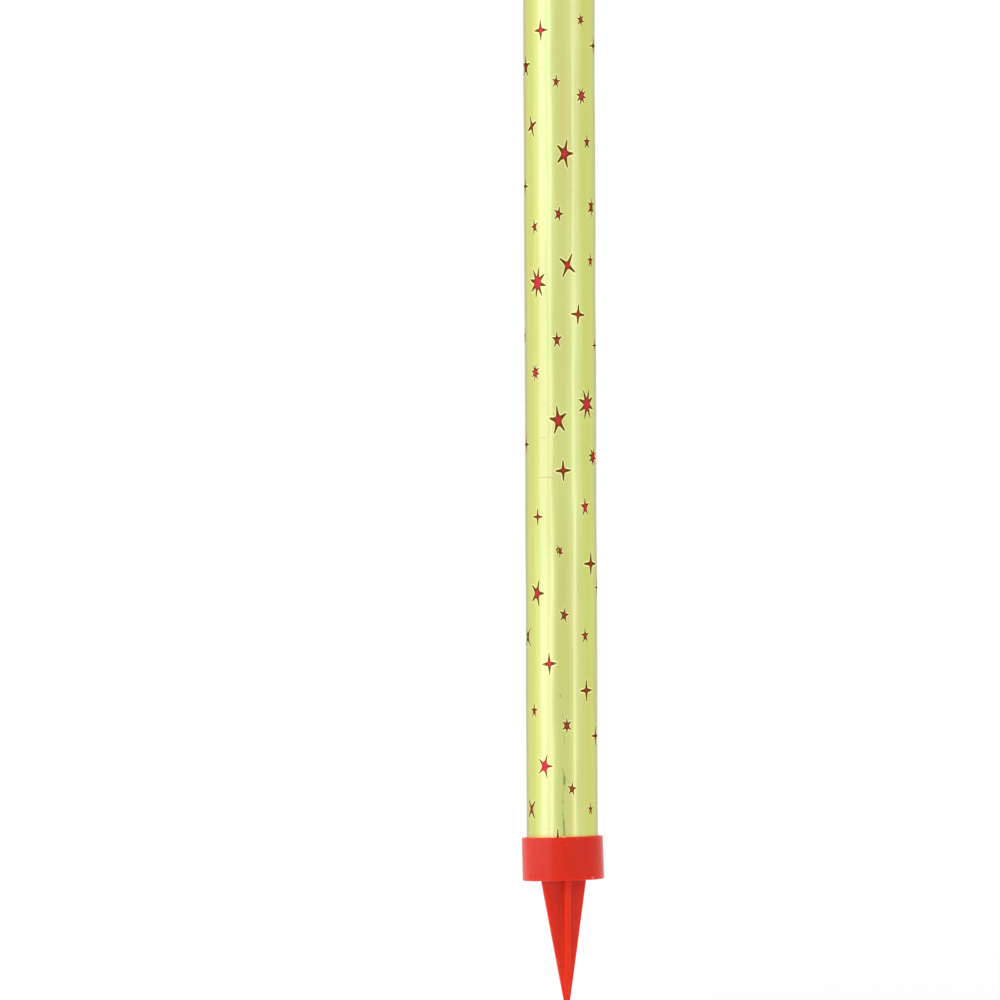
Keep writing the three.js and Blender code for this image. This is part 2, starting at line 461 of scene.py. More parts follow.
def red_plastic(settings, side):
    """Injection-moulded plastic: a fine skin, faint flow lines, dust and rubbed corners, with
    painted
    light: a lighter band on the key lamp's side, a lighter spike below the cup and a painted glint.
    """
    material, finish = new_finish("red_moulded_plastic")
    place = finish.place()
    flow = finish.noise(finish.stretched(place, 260, 260, 60), 1.0, 3.0)
    skin = finish.noise(place, 2600, 2.0)
    rub = finish.noise(place, 520, 4.0, 0.65)
    scuffs = rub.step(0.6, 0.72)
    dark = tuple(part * 0.88 for part in settings.plastic)
    colour_here = finish.blend(flow.step(0.35, 0.7), settings.plastic, dark)
    x, y, z = finish.apart(place)
    around = finish.calculate("ARCTAN2", x, y * -1.0) - side
    # Painted light: the red turns lighter in a band on the key lamp's side of the cup.
    painted_lit_side = around.step(math.radians(-13), math.radians(-20))
    painted_lit_side = painted_lit_side * around.step(math.radians(-96), math.radians(-78))
    # Painted light: the spike below the cup is painted lighter and oranger, for light let through
    # its thin fins.
    thin = z.step(0.0, -2.5 * MM)
    colour_here = finish.blend(painted_lit_side * (1.0 - thin) * 0.85, colour_here, settings.painted_lit_red)
    colour_here = finish.tint(thin, colour_here, (1.04, 1.35, 1.7))
    colour_here = finish.blend(scuffs * 0.05, colour_here, paint(236, 110, 96))
    # Painted highlight: a small pale glint on the foot.
    painted_glint = finish.spot(
        place, (4.5 * MM, -6.72 * MM, 0.55 * MM), (0.42 * MM, 0.42 * MM, 0.16 * MM))
    colour_here = finish.blend(painted_glint * 0.7, colour_here, paint(250, 180, 165))
    roughness = 0.2 + flow * 0.08 + scuffs * 0.05
    normal = finish.bump(skin, 0.006 * MM, 0.5, finish.bump(flow, 0.05 * MM, 0.4))
    finish.surface(
        Base_Color=colour_here, Roughness=roughness, Normal=normal,
        Specular_IOR_Level=0.2, Subsurface_Weight=0.75,
        Subsurface_Radius=(1.0, 0.14, 0.06), Subsurface_Scale=1.8 * MM)
    return material


# Painted highlight and painted shade in lengthwise bands, where the film's reflections are light
# and dark: degrees from the middle of the printed side and the tone there.

PAINTED_LIGHT_BANDS = (
    (-64, "plain"), (-54, "painted_shade_tone"), (-45, "painted_shade_tone"), (-40, "plain"), (-33, "pale"),
    (-16, "pale"), (-8, "plain"), (17, "plain"), (21, "pale"), (27, "pale"), (32, "plain"),
    (44, "painted_shade_tone"), (52, "painted_shade_tone"), (66, "plain"),
)

# Broad patches of painted shade, where the film's reflections are darker: degrees from the middle
# of the printed side, height in millimetres, reach in degrees and in millimetres, and strength.

PAINTED_SHADE_PATCHES = (
    (-27, 92, 26, 42, 1.0), (0, 34, 21, 44, 0.8), (29, 34, 9, 44, 1.0), (21, 150, 7, 48, 0.9),
)

# Painted shade along creases in the film: height and degrees from the middle of the printed side
# for each end, half the width in millimetres, and how dark the painted shade is.

PAINTED_CREASE_SHADE = (
    (22.4, 0.0, 20.5, 3.3, 0.2, 0.5), (20.9, 3.4, 18.6, 3.0, 0.28, 0.8),
    (18.8, 2.6, 15.7, 0.0, 0.14, 0.35), (16.1, 0.6, 15.0, 0.9, 0.24, 0.6),
    (15.2, 0.4, 13.2, -0.1, 0.14, 0.35), (13.6, 0.0, 12.3, 1.2, 0.24, 0.55),
    (12.5, 1.2, 8.2, 2.7, 0.26, 0.75), (20.6, 4.6, 19.0, 14.6, 0.16, 0.3),
    (37.1, -3.2, 35.9, -2.8, 0.28, 0.45), (34.0, 0.2, 31.6, 2.4, 0.12, 0.3),
    (29.4, 2.9, 26.6, 4.0, 0.12, 0.25), (69.5, -20.0, 66.0, -16.5, 0.12, 0.18),
)

# Painted shade along creases across the film: height in millimetres, degrees of both ends and how
# dark the painted shade is.

PAINTED_CROSS_CREASE_SHADE = (
    (79.6, -40, -12, 0.26), (87.4, -34, -23, 0.2), (93.9, -32, -21, 0.16), (160.5, -34, -22, 0.14),
    (136.2, 14, 26, 0.14),
)

# Dents pressed into the film: degrees from the middle of the printed side, height and depth in
# millimetres.

DENTS = ((2.4, 9.5, 0.05), (2.4, 13.5, 0.06), (3.0, 17.5, 0.045), (3.4, 20.5, 0.05))


def starred_foil(settings, side):
    """Metallised film under yellow-green lacquer, drawn tight, with rubs and short creases. Its
    tone
    also carries painted light: painted highlight and painted shade in bands and patches, painted
    shade along the creases and a painted reflection of the cup's red rim.
    """
    material, finish = new_finish("lacquered_foil")
    place = finish.place()
    x, y, z = finish.apart(place)
    around = finish.calculate("ARCTAN2", x, y * -1.0) - side
    patches = finish.noise(finish.stretched(place, 270, 270, 30), 1.0, 2.0)
    streaks = finish.noise(finish.stretched(place, 1100, 1100, 34), 1.0, 3.0)
    grain = finish.noise(place, 1900, 2.0)
    cross_marks = finish.noise(finish.stretched(place, 90, 90, 1500), 1.0, 2.0).step(0.68, 0.76)
    # Painted highlight and painted shade in lengthwise bands.
    tone = finish.node("ShaderNodeValToRGB", {"stops": [
        (0.5 + degrees / 360, getattr(settings, tone)) for degrees, tone in PAINTED_LIGHT_BANDS
    ]}, {"Fac": around / (2 * math.pi) + 0.5})
    tone = finish.tint(patches.step(0.4, 0.6), tone, (1.03, 0.955, 0.975))
    level = z / MM
    # Painted shade in broad patches.
    for turn, height, wide, tall, strength in PAINTED_SHADE_PATCHES:
        across = (around - math.radians(turn)) / math.radians(wide)
        up = (level - height) / tall
        thick = (across * across + up * up).step(1.0, 0.35)
        tone = finish.tint(thick * strength, tone, (0.93, 0.92, 0.86))
    tone = finish.tint(streaks.step(0.55, 0.75) * 0.5, tone, (1.1, 1.1, 1.1))
    wander = (streaks - 0.5) * 0.5
    sideways = around * (settings.radius / MM) + wander
    # Painted shade along the creases, which are also rougher.
    painted_crease_shade = 0.0
    for high, high_turn, low, low_turn, half, dark in PAINTED_CREASE_SHADE:
        lean = math.radians(high_turn - low_turn) * (settings.radius / MM) / (high - low)
        start = math.radians(low_turn) * (settings.radius / MM) - low * lean
        off = (sideways - (start + level * lean)).math("ABSOLUTE")
        along = level.step(low, low + 0.5) * level.step(high, high - 0.5)
        painted_crease_shade = painted_crease_shade + off.step(half, half * 0.3) * along * dark
    for height, left, right, dark in PAINTED_CROSS_CREASE_SHADE:
        off = (level - height + wander * 0.6).math("ABSOLUTE")
        fade = math.radians(3)
        left, right = math.radians(left), math.radians(right)
        along = around.step(left, left + fade) * around.step(right, right - fade)
        painted_crease_shade = painted_crease_shade + off.step(0.2, 0.05) * along * dark
    painted_crease_shade = painted_crease_shade.limited()
    tone = finish.blend(painted_crease_shade, tone, paint(112, 128, 56))
    # Painted reflection of the cup's red rim, in a narrow band at the rim.
    ring = level.step(9.3, 8.7) * level.step(7.9, 8.3)
    tone = finish.blend(ring * 0.5, tone, settings.rubbed)
    rubs = finish.noise(place, 610, 4.0, 0.7).step(0.7, 0.78)
    tone = finish.blend(rubs * 0.35, tone, paint(178, 186, 108))
    relief = streaks * 0.7 + grain * 0.12 + cross_marks * 0.5
    normal = finish.bump(relief, 0.03 * MM, 0.35)
    finish.surface(
        Base_Color=tone, Metallic=0.92 - rubs * 0.2, Normal=normal,
        Roughness=0.18 + patches * 0.05 + painted_crease_shade * 0.2 + rubs * 0.15,
        Specular_Tint=opaque((0.68, 0.65, 0.58)), Coat_Weight=0.15, Coat_Roughness=0.12)
    return material


def star_ink(settings):
    """Translucent ink over the foil: red in a star's middle, brown and worn along its rays.
    The UV map gives how far out a point is and how far the red middle reaches."""
    material, finish = new_finish("star_ink")
    reach, heart, _ = finish.apart(finish.node("ShaderNodeUVMap", {"uv_map": "UVMap"}))
    mottle = finish.noise(finish.place(), 2400, 3.0, 0.6)
    out = reach + (mottle - 0.5) * 0.18
    tone = finish.blend((out / heart).step(0.75, 1.25), settings.heart, settings.body)
    tone = finish.blend((out - heart).step(0.03, 0.24), tone, settings.ray)
    tone = finish.blend(out.step(0.95, 1.35), tone, settings.worn)
    normal = finish.bump(mottle, 0.01 * MM, 0.4)
    finish.surface(
        Base_Color=tone, Metallic=1.0, Roughness=0.3 + mottle * 0.1, Normal=normal,
        Specular_Tint=opaque((0.5, 0.42, 0.2)), Coat_Weight=0.05, Coat_Roughness=0.2)
    return material


def bare_foil(settings):
    """Foil that the lacquer leaves out round each star, warm where the ink bleeds into it."""
    material, finish = new_finish("bare_foil")
    reach, _, _ = finish.apart(finish.node("ShaderNodeUVMap", {"uv_map": "UVMap"}))
    grain = finish.noise(finish.place(), 1800, 2.0)
    out = reach + (grain - 0.5) * 0.3
    tone = finish.blend(out.step(0.3, 0.6), settings.blush, settings.bare_foil)
    finish.surface(
        Base_Color=tone, Metallic=0.85, Roughness=0.28 + grain * 0.08,
        Normal=finish.bump(grain, 0.008 * MM, 0.4))
    return material


def fibrous(name, base, spread, roughness=0.85):
    """Paper or card: long fibres pressed flat, with darker and lighter ones among them."""
    material, finish = new_finish(name)
    place = finish.place()
    fibres = finish.noise(finish.stretched(place, 2600, 2600, 700), 1.0, 4.0, 0.65)
    pulp = finish.noise(place, 420, 3.0)
    dark = tuple(part * (1 - spread) for part in base)
    light = tuple(min(1.0, part * (1 + spread)) for part in base)
    tone = finish.blend(fibres.step(0.3, 0.7), dark, light)
    tone = finish.blend(pulp.step(0.45, 0.65) * 0.4, tone, dark)
    normal = finish.bump(fibres, 0.03 * MM, 0.6)
    finish.surface(
        Base_Color=tone, Roughness=roughness + fibres * 0.1, Normal=normal,
        Specular_IOR_Level=0.25)
    return material


def pressed_powder(name, base, second, grain_size, metallic=0.0):
    """Rammed clay or composition: coarse and fine grains, and a few that stand out."""
    material, finish = new_finish(name)
    place = finish.place()
    fine = finish.noise(place, 3.0 / grain_size, 3.0, 0.7)
    cells = finish.node(
        "ShaderNodeTexVoronoi", {"feature": "F1"},
        {"Vector": place, "Scale": 1.0 / grain_size})
    sparks = (fine.math("POWER", 2.0) * 2.0).step(0.62, 0.7)
    tone = finish.blend(fine.step(0.3, 0.7), base, second)
    tone = finish.blend(sparks * 0.5, tone, tuple(min(1.0, part * 2.2) for part in base))
    normal = finish.bump(cells, 0.05 * MM, 0.7, finish.bump(fine, 0.03 * MM, 0.6))
    finish.surface(
        Base_Color=tone, Roughness=0.8 + fine * 0.15, Metallic=sparks * metallic,
        Normal=normal, Specular_IOR_Level=0.3)
    return material


def lacquered_thread(settings):
    """Cotton thread under nitro lacquer: dull in the grooves, glossy on the strands."""
    material, finish = new_finish("lacquered_thread")
    place = finish.place()
    fibres = finish.noise(finish.stretched(place, 5200, 5200, 2400), 1.0, 3.0, 0.7)
    patches = finish.noise(place, 900, 2.0)
    dark = tuple(part * 0.6 for part in settings.thread)
    tone = finish.blend(fibres.step(0.35, 0.65), dark, settings.thread)
    tone = finish.blend(patches.step(0.5, 0.7) * 0.4, tone, paint(96, 140, 84))
    finish.surface(
        Base_Color=tone, Roughness=0.42 + fibres * 0.25, Coat_Weight=0.35,
        Coat_Roughness=0.25, Normal=finish.bump(fibres, 0.02 * MM, 0.7))
    return material


# Holder

def fin_reach(settings, z):
    """From the axis to a fin's edge, at a height below the cup."""
    taper = (settings.root_reach - settings.tip_reach) / settings.spike_length
    return settings.tip_reach + taper * (z + settings.spike_length)


def holder_cup(settings):
    cup = primitive(
        "holder_moulding", bpy.ops.mesh.primitive_circle_add,
        vertices=144, radius=settings.foot_radius, fill_type="NGON")
    top = settings.cup_height
    floor = top - settings.bore_depth
    edit(cup, "FACE")
    bpy.ops.mesh.select_all(action="SELECT")
    extrude(z=top)
    taper = settings.rim_radius / settings.foot_radius
    resize(taper, taper, 1, (0, 0, top))
    bpy.ops.mesh.inset(thickness=settings.rim_radius - settings.bore_radius)
    extrude(z=-settings.bore_depth)
    deselect()
    close_up(cup)
    edit(cup, "EDGE")
    rounds = (
        (0, settings.foot_radius, 0.42 * MM, 5),
        (top, settings.rim_radius, 0.15 * MM, 3),
        (top, settings.bore_radius, 0.3 * MM, 3),
        (floor, settings.bore_radius, 0.35 * MM, 3),
    )
    for level, radius, width, segments in rounds:
        pick(lambda edge: all(
            near(corner.co.z, level) and near(radius_of(corner.co), radius)
            for corner in edge.verts), "EDGE")
        bevel(width, segments)
    add_parting_line(settings)
    deselect()
    return cup


def add_parting_line(settings):
    """The two halves of the mould leave a faint ridge down each side of the cup."""
    outside = (settings.foot_radius + settings.rim_radius) / 2
    for side in (1, -1):
        pick(lambda edge: all(
            near(corner.co.y, 0) and near(corner.co.x * side, outside, 0.2 * MM)
            for corner in edge.verts), "EDGE")
        bevel(0.07 * MM, 2)
        pick(lambda corner: near(corner.co.y, 0, 0.01 * MM)
             and near(corner.co.x * side, outside, 0.2 * MM))
        move(x=0.035 * MM * side)


def spike_blank(settings):
    """A straight cross-shaped bar with rounded fin edges and filleted corners."""
    half = settings.fin_thickness / 2
    bar_length = settings.spike_length + SPIKE_OVERLAP
    bar = primitive(
        "spike_bar", bpy.ops.mesh.primitive_cube_add, size=1,
        location=(0, 0, SPIKE_OVERLAP - bar_length / 2),
        scale=(settings.fin_thickness, settings.fin_thickness, bar_length))
    edit(bar, "FACE")
    pick(lambda face: abs(face.normal.z) < 0.5, "FACE")
    bpy.ops.mesh.extrude_faces_move(
        TRANSFORM_OT_shrink_fatten={"value": settings.root_reach - half})
    deselect()
    close_up(bar)
    edit(bar, "EDGE")

    def upright(edge):
        return abs(edge.verts[0].co.z - edge.verts[1].co.z) > MM

    pick(lambda edge: upright(edge) and radius_of(edge.verts[0].co) < half * 1.6, "EDGE")
    bevel(0.55 * MM, 5)
    pick(lambda edge: upright(edge)
         and near(max(abs(edge.verts[0].co.x), abs(edge.verts[0].co.y)), settings.root_reach),
         "EDGE")
    bevel(0.28 * MM, 4)
    deselect()
    return bar


def taper_fins(bar, settings):
    """Cuts the bar across and draws each ring in, from the flared root to the blunt tip."""
    flare = 0.22 * MM
    nose = 0.5 * MM
    whole = 1.45 * MM
    low = -settings.spike_length
    slope = (settings.root_reach - settings.tip_reach) / settings.spike_length
    whole_z = low + (whole - settings.tip_reach) / slope
    flare_rings = [-flare * (1 - part) for part in (0.0, 0.25, 0.5, 0.72, 0.88, 1.0)]
    taper_rings = [whole_z + (flare_rings[0] - whole_z) * part for part in (0, 0.25, 0.5, 0.75)]
    nose_rings = [low + nose * part for part in (0.06, 0.2, 0.45, 1.0)]
    rings = nose_rings + taper_rings + flare_rings
    edit(bar)
    for ring in rings:
        bpy.ops.mesh.select_all(action="SELECT")
        bpy.ops.mesh.bisect(
            plane_co=(0, 0, ring), plane_no=(0, 0, 1), threshold=0.001 * MM)
    root_end = settings.root_reach - 0.5 * MM
    for ring in [low] + rings:
        reach = fin_reach(settings, ring)
        drawn_in = settings.root_reach - max(reach, whole)
        for axis, side in ((0, 1), (0, -1), (1, 1), (1, -1)):
            pick(lambda corner: near(corner.co.z, ring) and corner.co[axis] * side > root_end)
            step = Vector((0, 0, 0))
            step[axis] = -side * drawn_in
            move(*step)
        if reach < whole:
            into_nose = min((ring - low) / nose, 1)
            blunt = 0.5 + 0.5 * math.sqrt(1 - (1 - into_nose) ** 2)
            size = reach / whole * blunt
            pick(lambda corner: near(corner.co.z, ring))
            resize(size, size, 1, (0, 0, ring))
    for ring in flare_rings:
        spread = flare - math.sqrt(flare ** 2 - (ring + flare) ** 2)
        widen_ring(ring, spread)
    for x, y in ((1, 1), (1, -1), (-1, 1), (-1, -1)):
        pick(lambda corner: corner.co.z > SPIKE_OVERLAP / 2
             and corner.co.x * x > 0 and corner.co.y * y > 0)
        move(x * flare, y * flare)
    deselect()


def widen_ring(ring, spread):
    for x, y in ((1, 1), (1, -1), (-1, 1), (-1, -1)):
        pick(lambda corner: near(corner.co.z, ring)
             and corner.co.x * x > 0 and corner.co.y * y > 0)
        move(x * spread, y * spread)


def grip_ribs(settings):
    """The ribs that bite on the tube, each ramped at its top, joined into one."""
    outer = settings.bore_radius + 0.36 * MM
    low, top = 0.65 * MM, settings.cup_height - 1.5 * MM
    rib = primitive(
        "grip_rib", bpy.ops.mesh.primitive_cube_add, size=1,
        location=((settings.grip_radius + outer) / 2, 0, (low + top) / 2),
        scale=(outer - settings.grip_radius, 0.7 * MM, top - low))
    edit(rib)
    pick(lambda corner: near(corner.co.z, top) and near(corner.co.x, settings.grip_radius))
    move(z=-1.2 * MM)
    pick(lambda edge: all(near(end.co.x, settings.grip_radius) for end in edge.verts)
         and abs(edge.verts[0].co.z - edge.verts[1].co.z) > MM, "EDGE")
    bevel(0.12 * MM, 2)
    deselect()
    ribs = []
    for number in range(settings.grip_ribs):
        copy = rib.copy()
        copy.data = rib.data.copy()
        bpy.context.collection.objects.link(copy)
        turn = (number + 0.5) * 2 * math.pi / settings.grip_ribs
        copy.data.transform(Matrix.Rotation(turn, 4, "Z"))
        ribs.append(copy)
    bpy.data.objects.remove(rib)
    joined = take(*ribs)
    bpy.ops.object.join()
    return joined


class SPARKLER_OT_holder(bpy.types.Operator):
    """Model the red moulding: the cup, its grip ribs and the four-finned spike"""
    bl_idname = "sparkler.holder"
    bl_label = "Holder"

    def execute(self, context):
        settings = context.scene.sparkler_holder
        holder = holder_cup(settings)
        bar = spike_blank(settings)
        taper_fins(bar, settings)
        close_up(bar)
        unite(holder, bar)
        unite(holder, grip_ribs(settings))
        close_up(holder)
        smooth(holder, 32)
        pivot = Matrix.Translation((0, 0, settings.cup_height / 2))
        towards = camera_direction(context.scene.sparkler_studio)
        tilt = Matrix.Rotation(settings.lean, 4, towards)
        aside = towards.cross((0, 0, -1)) * settings.aside
        holder.data.transform(Matrix.Translation(aside) @ pivot @ tilt @ pivot.inverted())
        plastic = red_plastic(settings, context.scene.sparkler_stars.side)
        dress(holder, plastic, "holder", "red_plastic", "spike_base")
        return {"FINISHED"}


# Film

def film_skin(settings):
    """The film's outer face: drawn up the tube, bent over its end and gathered inwards."""
    low, high = FILM_BOX[0].z, FILM_BOX[1].z
    bend = 0.24 * MM
    skin = primitive(
        "film_sleeve", bpy.ops.mesh.primitive_circle_add,
        vertices=FILM_SIDES, radius=settings.radius, fill_type="NOTHING", location=(0, 0, low))
    edit(skin, "EDGE")
    bpy.ops.mesh.select_all(action="SELECT")
    body_top = high - bend
    rows = 84
    for _ in range(rows):
        extrude(z=(body_top - low) / rows)
    z = body_top
    radius = settings.radius
    for step in range(1, 6):
        turn = math.radians(18 * step)
        new_radius = settings.radius - bend + bend * math.cos(turn)
        new_z = body_top + bend * math.sin(turn)
        extrude(z=new_z - z)
        resize(new_radius / radius, new_radius / radius, 1, (0, 0, new_z))
        z, radius = new_z, new_radius
    lip = settings.radius - settings.lip_reach
    steps = 7
    ring = (radius - lip) / steps
    for _ in range(steps):
        extrude()
        resize((radius - ring) / radius, (radius - ring) / radius, 1, (0, 0, z))
        radius -= ring
    deselect()
    return skin


def wave_film(skin, settings):
    """Long soft waves down the film, which make the reflections waver."""
    for name, width, stretch, height, seed in (
            ("long_waves", 4.3 * MM, 4.2, settings.wave, 3),
            ("short_waves", 2.1 * MM, 5.0, settings.wave * 0.3, 11)):
        texture = bpy.data.textures.new(name, "CLOUDS")
        texture.noise_scale = width
        texture.noise_depth = 1
        guide = bpy.data.objects.new(name, None)
        bpy.context.collection.objects.link(guide)
        guide.location = (seed * MM, 2 * seed * MM, 5 * seed * MM)
        guide.scale = (1, 1, stretch)
        bpy.context.view_layer.update()
        modify(
            skin, "DISPLACE", texture=texture, texture_coords="OBJECT",
            texture_coords_object=guide, direction="NORMAL", strength=height, mid_level=0.5)
        bpy.data.objects.remove(guide)


def gather_lip(skin, settings):
    """Where the film runs in over the tube's end, small uneven pleats stand up from it, and
    its inner edge hangs down between them."""
    draw = random.Random(41)
    high = FILM_BOX[1].z
    inner = settings.radius - settings.lip_reach
    edit(skin)
    pleats = 38
    for number in range(pleats):
        turn = (number + draw.uniform(-0.3, 0.3)) * 2 * math.pi / pleats
        height = draw.uniform(0.07, 0.16) * MM
        outer = inner + settings.lip_reach * draw.uniform(0.35, 0.7)
        half = math.pi / FILM_SIDES * 1.05

        def on_pleat(corner):
            radius = radius_of(corner.co)
            here = math.atan2(corner.co.y, corner.co.x)
            apart = abs((here - turn + math.pi) % (2 * math.pi) - math.pi)
            return corner.co.z > high - 0.15 * MM and radius < outer and apart < half

        pick(on_pleat)
        move(z=height, use_proportional_edit=True, proportional_edit_falloff="SMOOTH",
             proportional_size=draw.uniform(0.2, 0.4) * MM)
    pick(lambda corner: radius_of(corner.co) < inner + 0.1 * MM)
    move(z=-0.12 * MM)
    deselect()


def crease_film(skin, settings, side):
    """The short lengthwise dents low on the printed side, pressed in one by one."""
    edit(skin)
    for turn, height, depth in DENTS:
        there = math.radians(turn) + side
        across = Vector((math.sin(there), -math.cos(there), 0))

        def on_dent(corner):
            here = math.atan2(corner.co.x, -corner.co.y)
            return (abs(here - there) * settings.radius < 0.16 * MM
                    and near(corner.co.z, height * MM, 1.8 * MM))

        pick(on_dent)
        inwards = across * (-depth * MM)
        move(*inwards, use_proportional_edit=True, proportional_edit_falloff="SMOOTH",
             proportional_size=0.75 * MM)
    deselect()


class SPARKLER_OT_film(bpy.types.Operator):
    """Model the printed film sleeve, with its waves, dents and gathered lip"""
    bl_idname = "sparkler.film"
    bl_label = "Film"

    def execute(self, context):
        settings = context.scene.sparkler_film
        side = context.scene.sparkler_stars.side
        skin = film_skin(settings)
        close_up(skin)
        wave_film(skin, settings)
        crease_film(skin, settings, side)
        gather_lip(skin, settings)
        modify(skin, "SOLIDIFY", thickness=settings.thickness, offset=-1.0)
        smooth(skin, 50)
        dress(skin, starred_foil(settings, side), "cartridge", "printed_film", "foil_wrap")
        return {"FINISHED"}


# Stars. Outlines run from beside a ray's tip to the valley between two rays in four corners,
# each with its distance as a share of the reach and its turn as a share of the way round.

FIVE = ((0.84, 0.15), (0.58, 0.3), (0.42, 0.58), (0.35, 1.0))
THIN_FIVE = ((0.82, 0.1), (0.54, 0.24), (0.4, 0.54), (0.34, 1.0))
EIGHT = ((0.85, 0.18), (0.63, 0.37), (0.46, 0.64), (0.39, 1.0))
LARGE_CROSS = ((0.83, 0.11), (0.53, 0.25), (0.34, 0.51), (0.25, 1.0))
CROSS = ((0.82, 0.13), (0.53, 0.29), (0.36, 0.54), (0.27, 1.0))
BOLD_CROSS = ((0.8, 0.13), (0.55, 0.26), (0.36, 0.5), (0.28, 1.0))
SMALL_FIVE = ((0.8, 0.15), (0.55, 0.34), (0.43, 0.63), (0.38, 1.0))
SMALL_SIX = ((0.8, 0.17), (0.56, 0.38), (0.45, 0.65), (0.41, 1.0))
SMALL_EIGHT = ((0.82, 0.2), (0.62, 0.42), (0.5, 0.66), (0.45, 1.0))

# A kind gives its rays, its reach along the tube in millimetres, its outline, and as shares
# of the reach where the red middle ends and where the ink begins to wear thin.

KINDS = {
    "large_five": (5, 3.1, FIVE, 0.24, 0.8),
    "red_five": (5, 3.1, THIN_FIVE, 0.42, 0.66),
    "large_eight": (8, 3.3, EIGHT, 0.33, 0.72),
    "large_cross": (4, 3.05, LARGE_CROSS, 0.17, 0.8),
    "dull_large_cross": (4, 3.05, LARGE_CROSS, 0.04, 0.45),
    "cross": (4, 2.18, CROSS, 0.11, 0.8),
    "worn_cross": (4, 2.2, CROSS, 0.24, 0.5),
    "bold_cross": (4, 2.2, BOLD_CROSS, 0.08, 0.9),
    "dull_cross": (4, 2.2, BOLD_CROSS, 0.03, 0.4),
    "small_five": (5, 1.55, SMALL_FIVE, 0.14, 0.85),
    "small_six": (6, 1.65, SMALL_SIX, 0.17, 0.85),
    "small_eight": (8, 1.8, SMALL_EIGHT, 0.29, 0.85),
    "red_small_five": (5, 1.55, SMALL_FIVE, 0.3, 0.7),
    "red_small_eight": (8, 1.8, SMALL_EIGHT, 0.36, 0.7),
}

# Each star: its kind, its turn from the middle of the printed side in degrees, its height
# in millimetres, its width as a share of its length, its twist in degrees and its size.

STARS = (
    ("worn_cross", -31.2, 167.8, 0.76, 3, 1.06),
    ("small_six", 37.0, 169.8, 0.66, 12, 0.92),
    ("dull_cross", 73.6, 164.8, 1.0, 0, 0.94),
    ("small_five", -68.5, 160.7, 0.72, 0, 1.6),
    ("small_five", -5.3, 157.6, 0.6, -8, 1.0),
    ("small_eight", 38.1, 154.8, 0.7, -12, 1.07),
    ("cross", -51.0, 148.9, 0.6, 23, 1.14),
    ("small_five", 49.9, 145.7, 0.68, 0, 1.06),
    ("large_five", 7.9, 143.4, 0.61, -17, 1.02),
    ("dull_cross", -74.2, 137.1, 0.9, 0, 0.88),
    ("small_six", 61.5, 132.9, 0.62, 0, 1.34),
    ("small_five", -2.3, 131.5, 0.6, -15, 1.18),
    ("small_five", -45.2, 129.0, 0.56, 16, 1.14),
    ("small_five", 58.4, 122.3, 0.68, 0, 1.04),
    ("large_cross", 12.1, 121.4, 0.7, -31, 0.96),
    ("large_eight", -39.5, 118.0, 0.66, -11, 1.03),
    ("cross", 30.0, 111.7, 0.83, -4, 0.98),
    ("small_five", -81.8, 107.5, 0.62, 0, 1.0),
    ("small_five", -5.6, 106.7, 0.56, 2, 1.28),
    ("dull_cross", 73.4, 105.6, 1.1, 0, 0.64),
    ("small_eight", -44.6, 100.3, 0.62, -12, 1.06),
    ("large_eight", 47.2, 94.0, 0.7, -18, 1.01),
    ("large_five", -4.0, 90.8, 0.61, 10, 1.03),
    ("dull_cross", -73.4, 86.1, 0.75, 0, 1.0),
    ("red_small_eight", 64.2, 83.6, 0.9, -14, 1.16),
    ("cross", 3.7, 80.9, 0.74, 2, 1.06),
    ("red_small_five", 42.1, 73.7, 0.54, 4, 1.44),
    ("cross", -41.1, 71.8, 0.74, 0, 0.86),
    ("worn_cross", -6.4, 65.4, 0.16, 6, 0.94),
    ("small_five", -1.9, 65.0, 0.5, 30, 1.0),
    ("cross", 55.5, 62.5, 0.9, 0, 1.1),
    ("cross", 79.5, 57.8, 0.7, 0, 0.8),
    ("large_five", -43.0, 56.7, 0.64, -18, 0.93),
    ("small_five", 4.2, 52.4, 0.62, -12, 1.15),
    ("small_five", 41.2, 48.3, 0.66, 4, 1.1),
    ("dull_large_cross", -70.0, 48.1, 0.66, 45, 0.94),
    ("worn_cross", -20.3, 42.8, 0.72, 3, 1.1),
    ("cross", 43.4, 37.5, 0.72, 2, 1.08),
    ("small_five", -50.4, 33.5, 0.65, 0, 1.04),
    ("small_six", 7.7, 30.6, 0.6, 0, 1.12),
    ("bold_cross", 69.2, 28.5, 0.85, 0, 0.95),
    ("red_five", -29.1, 22.6, 0.71, -18, 0.9),
    ("small_five", 15.9, 18.1, 0.68, -8, 1.0),
    ("large_cross", -58.9, 14.1, 0.66, 41, 0.88),
    ("small_five", 52.3, 14.0, 0.55, 0, 0.92),
    ("large_five", -7.4, 7.6, 0.56, 0, 0.93),
)


def outline_corners(rays, outline, wide):
    """An outline pushed out all round by a share of the reach, from a ray's tip on: each
    corner's distance, and its turn in radians."""
    valley = math.pi / rays
    corners = [(1 + wide, 0.0)]
    for distance, turn in outline[:-1]:
        outwards = distance * math.cos(turn * valley)
        sideways = distance * math.sin(turn * valley) + wide
        here = min(math.atan2(sideways, outwards), valley * 0.97)
        corners.append((math.hypot(outwards, sideways), here))
    return corners + [(outline[-1][0] + wide * 1.15, valley)]


